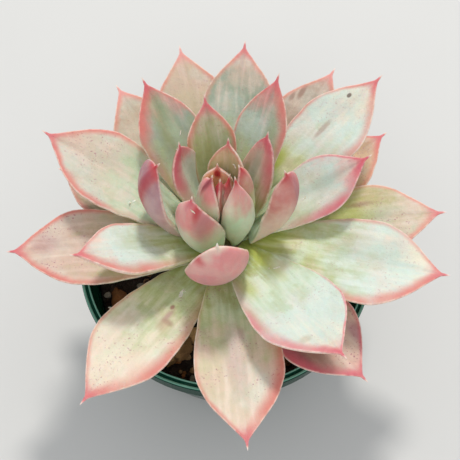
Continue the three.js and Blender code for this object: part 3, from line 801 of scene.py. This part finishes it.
def circle(radius, height, sides, x=0, y=0):
    """Points round a level circle."""
    angle = np.linspace(0, 2 * math.pi, sides, endpoint=False)
    level = np.full(sides, float(height))
    return np.stack([x + radius * np.cos(angle), y + radius * np.sin(angle), level], 1)


def turned_object(name, profile, sides, attributes=None):
    """A closed body of revolution. The profile runs from the axis to the axis."""
    rings = [circle(radius, height, sides) for radius, height in profile[1:-1]]
    fields = {}
    for key, values in (attributes or {}).items():
        fields[key] = np.append(np.repeat(values[1:-1], sides), (values[0], values[-1]))
    return tube_object(name, rings, (0, 0, profile[0][1]), (0, 0, profile[-1][1]), fields)


def rounded(profile):
    """The profile with each corner replaced by a short curve."""
    reach = POT_ROUNDING
    steps = POT_ROUNDING_STEPS
    smoothed = [profile[0]]
    for before, corner, after in zip(profile, profile[1:], profile[2:]):
        before, corner, after = (np.array(p, float) for p in (before, corner, after))
        back = before - corner
        ahead = after - corner
        start = corner + back * min(0.45, reach / max(np.linalg.norm(back), 1e-6))
        end = corner + ahead * min(0.45, reach / max(np.linalg.norm(ahead), 1e-6))
        for k in range(steps + 1):
            t = k / steps
            spot = (1 - t) ** 2 * start + 2 * t * (1 - t) * corner + t ** 2 * end
            smoothed.append(tuple(spot))
    smoothed.append(profile[-1])
    return smoothed


def pot_inner_radius(height):
    return POT_FOOT_RADIUS + (POT_NECK_RADIUS - POT_FOOT_RADIUS) * height / POT_WALL_TOP - POT_WALL


def cut(obj, cutter):
    """Takes the cutter's space out of the object for good."""
    change = obj.modifiers.new("cut", "BOOLEAN")
    change.operation = "DIFFERENCE"
    change.object = cutter
    change.solver = "EXACT"
    evaluated = obj.evaluated_get(bpy.context.evaluated_depsgraph_get())
    mesh = bpy.data.meshes.new_from_object(evaluated)
    obj.modifiers.clear()
    old = obj.data
    obj.data = mesh
    bpy.data.meshes.remove(old)
    bpy.data.objects.remove(cutter)


def drain_cutter():
    """The drain holes' cylinders in one mesh."""
    sides = 40
    points = []
    faces = []
    for hole in range(DRAIN_HOLES):
        turn = 2 * math.pi * hole / DRAIN_HOLES
        x = DRAIN_CIRCLE_RADIUS * math.cos(turn)
        y = DRAIN_CIRCLE_RADIUS * math.sin(turn)
        first = len(points)
        for height in (-1.0, POT_FLOOR + 1.0):
            points.extend(circle(DRAIN_HOLE_RADIUS, height, sides, x, y).tolist())
        ring = [first + k for k in range(sides)]
        faces.append(ring[::-1])
        faces.append([k + sides for k in ring])
        for k in range(sides):
            after = (k + 1) % sides
            faces.append([ring[k], ring[after], ring[after] + sides, ring[k] + sides])
    return mesh_object("drain_cutter", points, faces)


def pot_object():
    """The thin pot: tapered wall, wider band, and a rim with two fine beads and a groove between."""
    rim, band, neck, top = POT_RIM_RADIUS, POT_BAND_RADIUS, POT_NECK_RADIUS, POT_HEIGHT
    lip_foot = top - POT_LIP_HEIGHT
    inside = band - POT_WALL
    profile = [
        (0, 0), (POT_FOOT_RADIUS - 0.8, 0), (POT_FOOT_RADIUS, 0.8), (neck, POT_WALL_TOP),
        (band, POT_WALL_TOP + 0.8), (band + 0.2, lip_foot), (rim, lip_foot + 0.3), (rim, top - 0.3),
        (rim - 0.35, top), (rim - 0.75, top - 0.15), (rim - 0.95, top - 0.4), (inside + 0.75, top - 0.4),
        (inside + 0.6, top - 0.15), (inside + 0.3, top), (inside, top - 0.4), (inside, POT_WALL_TOP + 1.6),
        (neck - POT_WALL, POT_WALL_TOP), (pot_inner_radius(POT_FLOOR), POT_FLOOR), (0, POT_FLOOR),
    ]
    fine = rounded(profile)
    # Points on the bead crests, which get the painted highlight
    painted_rim_highlight = [1.0 if height > POT_HEIGHT - RIM_HIGHLIGHT_DEPTH else 0.0 for _, height in fine]
    pot = turned_object("pot_fine", fine, POT_SIDES, {"painted_rim_highlight": painted_rim_highlight})
    cut(pot, drain_cutter())
    pot.data.materials.append(pot_material())
    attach(pot, "root")
    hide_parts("pot")


def soil_height(x, y):
    """The bare soil's swells, as on the solid."""
    swell = np.sin(x / 7 + 1) * np.cos(y / 9) + 0.5 * np.sin(x / 3.5 - y / 4)
    return SOIL_TOP + SOIL_SWELL * swell


def soil_object():
    """The plug of soil, crumbly on top, with a plain hole where the stem stands."""
    foot = POT_FLOOR + GAP
    hole = STEM_RADIUS + GAP
    sides = SOIL_SIDES
    soil_random = np.random.default_rng(5)
    edge_top = pot_inner_radius(SOIL_TOP) - GAP
    rows = [circle(pot_inner_radius(foot) - GAP, foot, sides)]
    for number in range(SOIL_RINGS):
        ring = circle(edge_top + (hole - edge_top) * number / (SOIL_RINGS - 1), 0, sides)
        inner = 0 < number < SOIL_RINGS - 1
        crumble = soil_random.uniform(-SOIL_PIT, SOIL_CRUMB, sides) if inner else 0
        ring[:, 2] = soil_height(ring[:, 0], ring[:, 1]) + crumble
        rows.append(ring)
    rows.append(circle(hole, STEM_FOOT - GAP, sides))
    soil = tube_object("soil_fine", rows, (0, 0, foot), (0, 0, STEM_FOOT - GAP))
    soil.data.materials.append(soil_material())
    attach(soil, "root")
    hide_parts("soil")


def ball(subdivisions):
    """Points and triangles of a unit ball."""
    shape = bmesh.new()
    bmesh.ops.create_icosphere(shape, subdivisions=subdivisions, radius=1.0)
    points = np.array([v.co for v in shape.verts])
    faces = np.array([[v.index for v in f.verts] for f in shape.faces])
    shape.free()
    return points, faces


def broken(points, stone_random, facets, depth):
    """The ball's points pressed onto a few random planes, which leaves it angular."""
    chipped = points.copy()
    for _ in range(facets):
        normal = stone_random.normal(size=3)
        normal /= np.linalg.norm(normal)
        reach = stone_random.uniform(depth, 0.95)
        past = np.clip(chipped @ normal - reach, 0, None)
        chipped -= past[:, None] * normal
    return chipped


def turned_at_random(points, stone_random):
    axis = stone_random.normal(size=3)
    turn = Matrix.Rotation(stone_random.uniform(0, 2 * math.pi), 3, Vector(axis).normalized())
    return points @ np.array(turn)


def park_miller(seed):
    """The same run of numbers from 0 to 1 that places the solid soil's stones."""
    factor = 16807
    prime = 2147483647
    state = seed
    while True:
        state = state * factor % prime
        yield state / prime


def on_soil(x, y, size, lift=0.3):
    """A stone at a place on the soil, with its middle as many radii above the surface as lift says."""
    return x, y, soil_height(x, y) + lift * size, size


def solid_stones():
    """Centre and size of each stone of the solid soil, whose two turns are drawn and left unused."""
    draw = park_miller(41)
    stones = []
    for _ in range(STONE_COUNT):
        size = STONE_SMALLEST + (STONE_LARGEST - STONE_SMALLEST) * next(draw) ** 2
        radius = (pot_inner_radius(SOIL_TOP) - GAP - 1.2 * size) * math.sqrt(next(draw))
        angle = next(draw) * 2 * math.pi
        next(draw)
        next(draw)
        stones.append(on_soil(radius * math.cos(angle), radius * math.sin(angle), size, 0.15))
    return stones


def small_stones(count, smallest, largest, seed):
    stone_random = np.random.default_rng(seed)
    stones = []
    for _ in range(count):
        size = smallest + (largest - smallest) * stone_random.random() ** 2
        reach = pot_inner_radius(SOIL_TOP) - GAP - 1.1 * size
        radius = math.sqrt(stone_random.uniform(((STEM_RADIUS + 2) / reach) ** 2, 1)) * reach
        angle = stone_random.uniform(0, 2 * math.pi)
        stones.append(on_soil(radius * math.cos(angle), radius * math.sin(angle), size, 0.2))
    return stones


def grit_object(name, stones, stretch, facets, depth, detail, material, seed):
    """Stones in one mesh, each angular, turned its own way and with a shade of its own."""
    stone_random = np.random.default_rng(seed)
    unit, triangles = ball(detail)
    points = []
    faces = []
    shades = []
    for x, y, z, size in stones:
        shape = broken(unit, stone_random, facets, depth) * np.array(stretch)
        shape *= 1 + 0.05 * stone_random.normal(size=(len(unit), 1))
        shape = turned_at_random(shape, stone_random) * size * np.array([1, 1, 0.8])
        faces.append(triangles + len(points) * len(unit))
        points.append(shape + np.array([x, y, z]))
        shades.append(np.full(len(unit), stone_random.random()))
    grit = mesh_object(name, np.vstack(points), np.vstack(faces), {"shade": np.hstack(shades)})
    grit.data.materials.append(material)
    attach(grit, "root")


def grit():
    """Pale pumice, tan and orange-brown clay grains, and dark bark and crumbs."""
    large = solid_stones()
    chips = small_stones(60, 1.2, 3.2, 15)
    tans = large[::3] + small_stones(70, 0.6, 2.0, 11)
    clay = [on_soil(*lump) for lump in CLAY_LUMPS] + large[1::3] + small_stones(60, 0.6, 1.8, 12)
    crumbs = large[2::3] + small_stones(160, 0.5, 2.2, 14)
    lumps = [on_soil(*lump) for lump in BARK_LUMPS]
    bark = stone_material("grit_bark", (0.20, 0.09, 0.03, 1), (0.72, 0.42, 0.17, 1))
    tan = stone_material("grit_tan_stone", (0.16, 0.075, 0.03, 1), (0.55, 0.33, 0.16, 1))
    orange = stone_material("grit_orange_stone", (0.12, 0.04, 0.012, 1), (0.50, 0.20, 0.05, 1))
    pale = stone_material("grit_pale_stone", (0.20, 0.17, 0.13, 1), (0.62, 0.56, 0.46, 1))
    dark = stone_material("grit_dark_stone", (0.012, 0.008, 0.006, 1), (0.09, 0.05, 0.03, 1))
    plump = (1.1, 0.95, 0.85)
    grit_object("grit_tan", tans, plump, 9, 0.6, 3, tan, 1)
    grit_object("grit_orange", clay, plump, 8, 0.65, 3, orange, 2)
    grit_object("bark_lumps", lumps, (1.3, 0.75, 0.6), 9, 0.5, 4, bark, 6)
    grit_object("grit_pale", small_stones(60, 0.5, 1.7, 13), plump, 9, 0.6, 3, pale, 3)
    grit_object("grit_dark", crumbs, (1.3, 0.9, 0.6), 8, 0.55, 2, dark, 4)
    grit_object("bark_chips", chips, (1.6, 0.5, 0.3), 7, 0.6, 2, dark, 5)


def stem_object():
    """The short woody stem, ringed where old leaves have dropped."""
    profile = [(0, STEM_FOOT)]
    for height in np.linspace(STEM_FOOT, STEM_SHOULDER, 90):
        neck = np.clip((height - SOIL_TOP - 4) / 6, 0, 1)
        ring = 0.28 * math.sin(height * 2.1) * math.sin(height * 0.77 + 1)
        profile.append((STEM_RADIUS - 0.35 - 0.5 * neck + ring, height))
    profile.extend([(STEM_RADIUS * 0.5, STEM_TOP - 1.5), (0, STEM_TOP)])
    stem = turned_object("stem_fine", profile, 72)
    stem.data.materials.append(stem_material())
    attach(stem, "root")
    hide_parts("stem")


# Stage, light and camera

def place_facing(name, data, spot, away):
    """Puts a lamp or the camera at a spot, with its back to one direction."""
    obj = bpy.data.objects.new(name, data)
    obj.location = spot
    obj.rotation_mode = "QUATERNION"
    obj.rotation_quaternion = away.to_track_quat("Z", "Y")
    bpy.context.scene.collection.objects.link(obj)
    return obj


def area_light(name, direction, rise, distance, size, power, colour):
    turn = math.radians(direction)
    lift = math.radians(rise)
    away = Vector((math.cos(lift) * math.cos(turn), math.cos(lift) * math.sin(turn), math.sin(lift)))
    data = bpy.data.lights.new(name, "AREA")
    data.shape = "DISK"
    data.size = size
    data.energy = power
    data.color = colour
    place_facing(name, data, Vector((0, 0, LIGHT_CENTRE * MM)) + away * distance, away)


def studio():
    """A pale floor, one soft lamp high behind the plant, and an even soft fill."""
    graph = Graph("floor_paint")
    tone = graph.mix(graph.noise(graph.place(), 0.01, 2.0), (0.60, 0.59, 0.57, 1), (0.64, 0.63, 0.61, 1))
    corners = np.array([(-1, -1, 0), (1, -1, 0), (1, 1, 0), (-1, 1, 0)])
    floor = mesh_object("floor", corners * FLOOR_REACH, [(0, 1, 2, 3)])
    floor.data.materials.append(graph.finish(tone, 0.7))
    area_light("lamp_high", direction=84, rise=56, distance=1.4, size=0.22, power=12,
               colour=(1.0, 0.98, 0.94))
    area_light("lamp_front", direction=265, rise=40, distance=1.6, size=1.2, power=5,
               colour=(0.96, 0.98, 1.0))
    world = bpy.data.worlds.new("soft_room")
    world.use_nodes = True
    fill = world.node_tree.nodes["Background"].inputs
    fill["Color"].default_value = (0.92, 0.96, 1.0, 1)
    fill["Strength"].default_value = FILL_STRENGTH
    bpy.context.scene.world = world
    bpy.context.scene.view_settings.view_transform = "Standard"


def camera():
    rise = math.radians(CAMERA_RISE)
    back = Vector((0, -math.cos(rise), math.sin(rise)))
    data = bpy.data.cameras.new("camera")
    data.sensor_width = SENSOR
    data.lens = CAMERA_FOCUS / PHOTO_WIDTH * SENSOR
    data.clip_start = 0.01
    data.clip_end = 20
    spot = (Vector(CAMERA_TARGET) + CAMERA_DISTANCE * back) * MM
    bpy.context.scene.camera = place_facing("camera", data, spot, back)


def rosette():
    for number, name in enumerate(LEAVES):
        leaf = leaf_object(name, 100 + number)
        leaf.data.materials.append(leaf_material(name, number))
    husk = husk_material()
    for number, place in enumerate(FLECKS):
        fleck = fleck_object("skin_fleck_%02d" % (number + 1), *place, 300 + number)
        fleck.data.materials.append(husk)


camera()
studio()
rosette()
stem_object()
pot_object()
soil_object()
grit()
